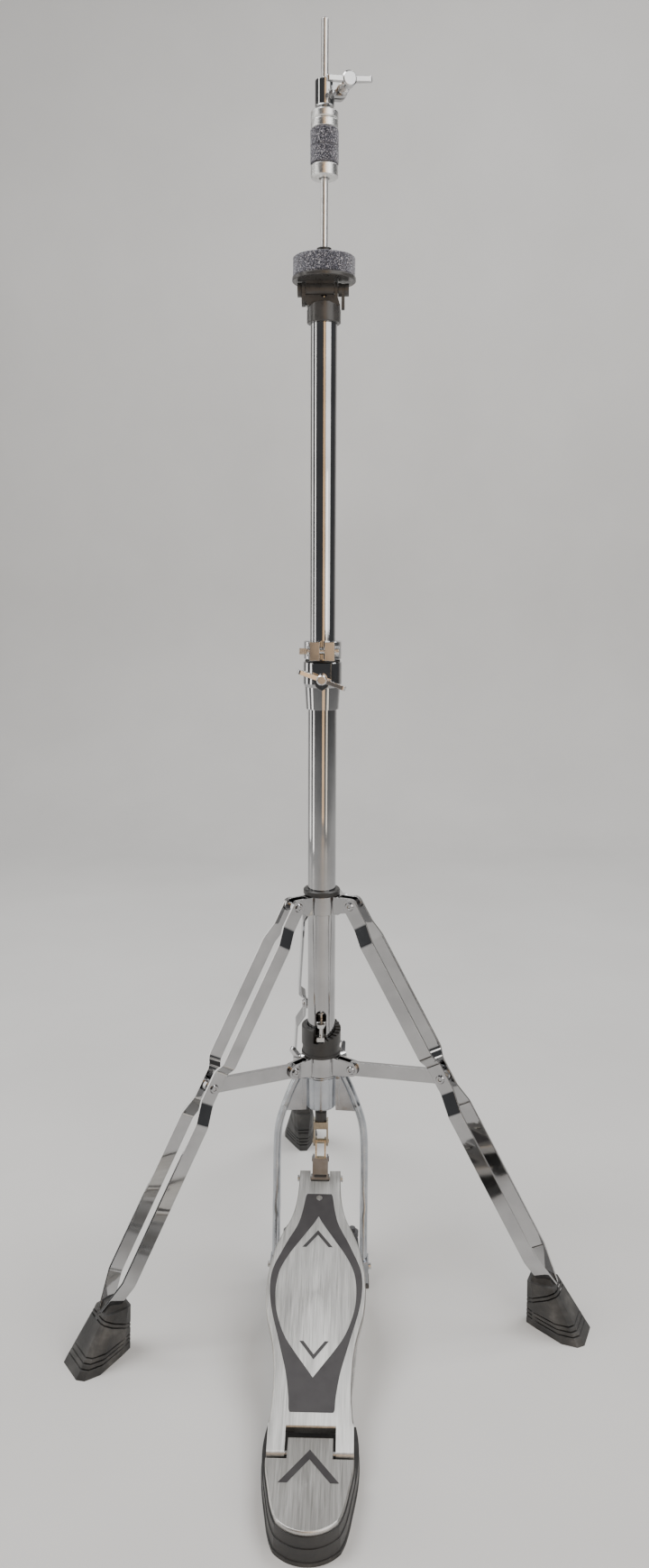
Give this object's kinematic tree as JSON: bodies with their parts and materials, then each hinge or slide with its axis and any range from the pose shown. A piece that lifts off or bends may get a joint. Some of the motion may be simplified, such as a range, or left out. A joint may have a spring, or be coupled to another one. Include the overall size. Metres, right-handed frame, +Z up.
{
  "type": "hi-hat cymbal stand",
  "caption": "Folding double-braced tripod stand with a height-adjustable tube, a foot pedal on a pull rod, a tilting felt seat and a rod clutch for a cymbal pair; no cymbals.",
  "frame": {"origin": "bottom centre of the whole object's box, on the floor; the tube axis is at x = -0.014821 m, y = 0.037805 m", "axes": "+Z up along the tubes and the pull rod, -Y towards the player's heel along the pedal, +X to the player's right as seen from the heel"},
  "size_m": [0.4598, 0.5948, 1.0926],
  "materials": {
    "chrome": "polished",
    "steel": "zinc plated",
    "cast": "satin cast",
    "brushed_aluminium": "brushed",
    "black_plastic": "matte",
    "dark_metal": "satin",
    "rubber": "matte",
    "felt": "grey felt"
  },
  "bodies": {
    "frame": {"pedal_frame": "cast", "frame_feet": "rubber", "frame_screws": "steel", "spur_brackets": "dark_metal", "radius_rods": "steel", "neck_washer": "chrome", "lower_tube": "chrome", "height_collar": "chrome", "collar_bushing": "black_plastic", "heel_rubber": "rubber", "heel_base": "dark_metal", "heel_plate": "brushed_aluminium", "heel_hinge_pin": "steel"},
    "spur_left": {"spur_left": "dark_metal"},
    "spur_right": {"spur_right": "dark_metal"},
    "height_wing_bolt": {"height_wing_bolt": "chrome"},
    "footboard": {"footboard": "brushed_aluminium", "toe_pin": "steel"},
    "toe_link": {"toe_link": "dark_metal"},
    "chain": {"chain_link": "steel"},
    "pull_rod": {"clevis_pin": "steel", "rod_clevis": "steel", "rod_end": "black_plastic", "lower_rod": "steel", "rod_coupling": "steel", "upper_rod": "chrome"},
    "spring_seat": {"spring_seat": "steel", "return_spring": "steel"},
    "tension_ring": {"tension_ring": "black_plastic"},
    "spider": {"spider": "chrome", "spider_rivets": "chrome"},
    "spider_wing_bolt_right": {"spider_wing_bolt_right": "chrome"},
    "spider_wing_bolt_left": {"spider_wing_bolt_left": "chrome"},
    "leg_collar": {"leg_collar": "chrome", "leg_collar_ring": "black_plastic"},
    "leg_collar_wing_bolt": {"leg_collar_wing_bolt": "chrome"},
    "upper_tube": {"upper_tube": "chrome", "tilter_base": "black_plastic"},
    "memory_lock": {"memory_lock": "chrome"},
    "memory_lock_bolt": {"memory_lock_bolt": "steel"},
    "seat": {"tilter_cup": "black_plastic", "tilt_pin": "steel", "seat_sleeve": "black_plastic", "seat_felt": "felt"},
    "tilt_screw": {"tilt_screw": "black_plastic"},
    "clutch": {"clutch_body": "chrome", "clutch_sleeve": "chrome", "clutch_lock_nuts": "chrome", "clutch_felts": "felt"},
    "clutch_wing_bolt": {"clutch_wing_bolt": "chrome"},
    "clutch_bottom_nut": {"clutch_bottom_nut": "chrome"},
    "leg_rear": {"leg_rear": "chrome", "foot_rear": "rubber"},
    "stay_rear": {"stay_rear": "chrome"},
    "leg_left": {"leg_left": "chrome", "foot_left": "rubber"},
    "stay_left": {"stay_left": "chrome"},
    "leg_right": {"leg_right": "chrome", "foot_right": "rubber"},
    "stay_right": {"stay_right": "chrome"}
  },
  "joints": [
    {"name": "pull_rod_slide", "type": "slide", "parent": "frame", "child": "pull_rod", "axis": [0, 0, 1], "range_m": [-0.045, 0], "stiffness_N_per_m": 400, "springref_m": 0.045, "deforming": ["return_spring"]},
    {"name": "footboard_hinge", "type": "hinge", "parent": "frame", "child": "footboard", "pos_m": [-0.01482, -0.22479, 0.022], "axis": [1, 0, 0], "range_deg": [-10.95, 0]},
    {"name": "chain_hinge", "type": "hinge", "parent": "pull_rod", "child": "chain", "pos_m": [-0.01482, 0.0378, 0.1275], "axis": [1, 0, 0], "range_deg": [0, 17.4]},
    {"name": "toe_link_hinge", "type": "hinge", "parent": "footboard", "child": "toe_link", "pos_m": [-0.01482, 0.02254, 0.09715], "axis": [1, 0, 0], "range_deg": [0, 28.3]},
    {"name": "tension_ring_turn", "type": "hinge", "parent": "frame", "child": "tension_ring", "pos_m": [-0.01482, 0.0378, 0.23], "axis": [0, 0, 1], "range_deg": [-120, 0]},
    {"name": "spring_seat_slide", "type": "slide", "parent": "frame", "child": "spring_seat", "axis": [0, 0, 1], "range_m": [0, 0.0101]},
    {"name": "tripod_swivel", "type": "hinge", "parent": "frame", "child": "spider", "pos_m": [-0.01482, 0.0378, 0.208], "axis": [0, 0, 1], "range_deg": [-12, 12]},
    {"name": "leg_collar_slide", "type": "slide", "parent": "spider", "child": "leg_collar", "axis": [0, 0, 1], "range_m": [0, 0.085]},
    {"name": "leg_rear_hinge", "type": "hinge", "parent": "leg_collar", "child": "leg_rear", "pos_m": [-0.01868, 0.06846, 0.3678], "axis": [-0.9922, -0.1248, 0], "range_deg": [0, 15.61]},
    {"name": "stay_rear_hinge", "type": "hinge", "parent": "spider", "child": "stay_rear", "pos_m": [-0.01885, 0.06985, 0.2089], "axis": [-0.9922, -0.1248, 0], "range_deg": [-53.6, 0]},
    {"name": "leg_left_hinge", "type": "hinge", "parent": "leg_collar", "child": "leg_left", "pos_m": [-0.03944, 0.01914, 0.3678], "axis": [0.6042, -0.7968, 0], "range_deg": [0, 15.61]},
    {"name": "stay_left_hinge", "type": "hinge", "parent": "spider", "child": "stay_left", "pos_m": [-0.04056, 0.01829, 0.2089], "axis": [0.6042, -0.7968, 0], "range_deg": [-53.6, 0]},
    {"name": "leg_right_hinge", "type": "hinge", "parent": "leg_collar", "child": "leg_right", "pos_m": [0.01366, 0.02582, 0.3678], "axis": [0.388, 0.9217, 0], "range_deg": [0, 15.61]},
    {"name": "stay_right_hinge", "type": "hinge", "parent": "spider", "child": "stay_right", "pos_m": [0.01495, 0.02527, 0.2089], "axis": [0.388, 0.9217, 0], "range_deg": [-53.6, 0]},
    {"name": "height_slide", "type": "slide", "parent": "frame", "child": "upper_tube", "axis": [0, 0, 1], "range_m": [-0.13, 0.005]},
    {"name": "memory_lock_slide", "type": "slide", "parent": "frame", "child": "memory_lock", "axis": [0, 0, 1], "range_m": [0, 0.11]},
    {"name": "seat_tilt", "type": "hinge", "parent": "upper_tube", "child": "seat", "pos_m": [-0.01482, 0.0378, 0.8915], "axis": [1, 0, 0], "range_deg": [-3.5, 3.5]},
    {"name": "clutch_slide", "type": "slide", "parent": "pull_rod", "child": "clutch", "axis": [0, 0, 1], "range_m": [-0.007, 0.038]},
    {"name": "height_wing_bolt_turn", "type": "hinge", "parent": "frame", "child": "height_wing_bolt", "pos_m": [-0.01482, 0.0146, 0.5725], "axis": [0, -1, 0], "continuous": true},
    {"name": "memory_lock_bolt_turn", "type": "hinge", "parent": "memory_lock", "child": "memory_lock_bolt", "pos_m": [-0.01482, 0.0198, 0.5962], "axis": [1, 0, 0], "continuous": true},
    {"name": "tilt_screw_turn", "type": "hinge", "parent": "upper_tube", "child": "tilt_screw", "pos_m": [0.00378, 0.0378, 0.8915], "axis": [1, 0, 0], "range_deg": [-90, 10]},
    {"name": "spider_wing_bolt_right_turn", "type": "hinge", "parent": "spider", "child": "spider_wing_bolt_right", "pos_m": [0.00128, 0.05001, 0.20865], "axis": [0.7968, 0.6042, 0], "continuous": true},
    {"name": "spider_wing_bolt_left_turn", "type": "hinge", "parent": "spider", "child": "spider_wing_bolt_left", "pos_m": [-0.03344, 0.04564, 0.20865], "axis": [-0.9217, 0.388, 0], "continuous": true},
    {"name": "leg_collar_wing_bolt_turn", "type": "hinge", "parent": "leg_collar", "child": "leg_collar_wing_bolt", "pos_m": [0.00128, 0.05001, 0.3658], "axis": [0.7968, 0.6042, 0], "continuous": true},
    {"name": "clutch_wing_bolt_turn", "type": "hinge", "parent": "clutch", "child": "clutch_wing_bolt", "pos_m": [0.00378, 0.02192, 1.041], "axis": [0.2756, -0.9613, 0], "continuous": true},
    {"name": "clutch_bottom_nut_turn", "type": "hinge", "parent": "clutch", "child": "clutch_bottom_nut", "pos_m": [-0.01482, 0.0378, 0.981], "axis": [0, 0, 1], "continuous": true},
    {"name": "spur_left_turn", "type": "hinge", "parent": "frame", "child": "spur_left", "pos_m": [-0.04582, 0.0538, 0.015], "axis": [0, 0, 1], "continuous": true},
    {"name": "spur_right_turn", "type": "hinge", "parent": "frame", "child": "spur_right", "pos_m": [0.01618, 0.0538, 0.015], "axis": [0, 0, 1], "continuous": true}
  ],
  "couplings": [
    {"joint": "footboard_hinge", "follows": "pull_rod_slide", "rad_per_m": 4.2315},
    {"joint": "chain_hinge", "follows": "pull_rod_slide", "rad_per_m": -6.7334},
    {"joint": "toe_link_hinge", "follows": "pull_rod_slide", "rad_per_m": -10.965},
    {"joint": "spring_seat_slide", "follows": "tension_ring_turn", "m_per_rad": -0.0047746},
    {"joint": "leg_rear_hinge", "follows": "leg_collar_slide", "rad_per_m": 3.2041},
    {"joint": "stay_rear_hinge", "follows": "leg_collar_slide", "rad_per_m": -11.004},
    {"joint": "leg_left_hinge", "follows": "leg_collar_slide", "rad_per_m": 3.2041},
    {"joint": "stay_left_hinge", "follows": "leg_collar_slide", "rad_per_m": -11.004},
    {"joint": "leg_right_hinge", "follows": "leg_collar_slide", "rad_per_m": 3.2041},
    {"joint": "stay_right_hinge", "follows": "leg_collar_slide", "rad_per_m": -11.004}
  ]
}
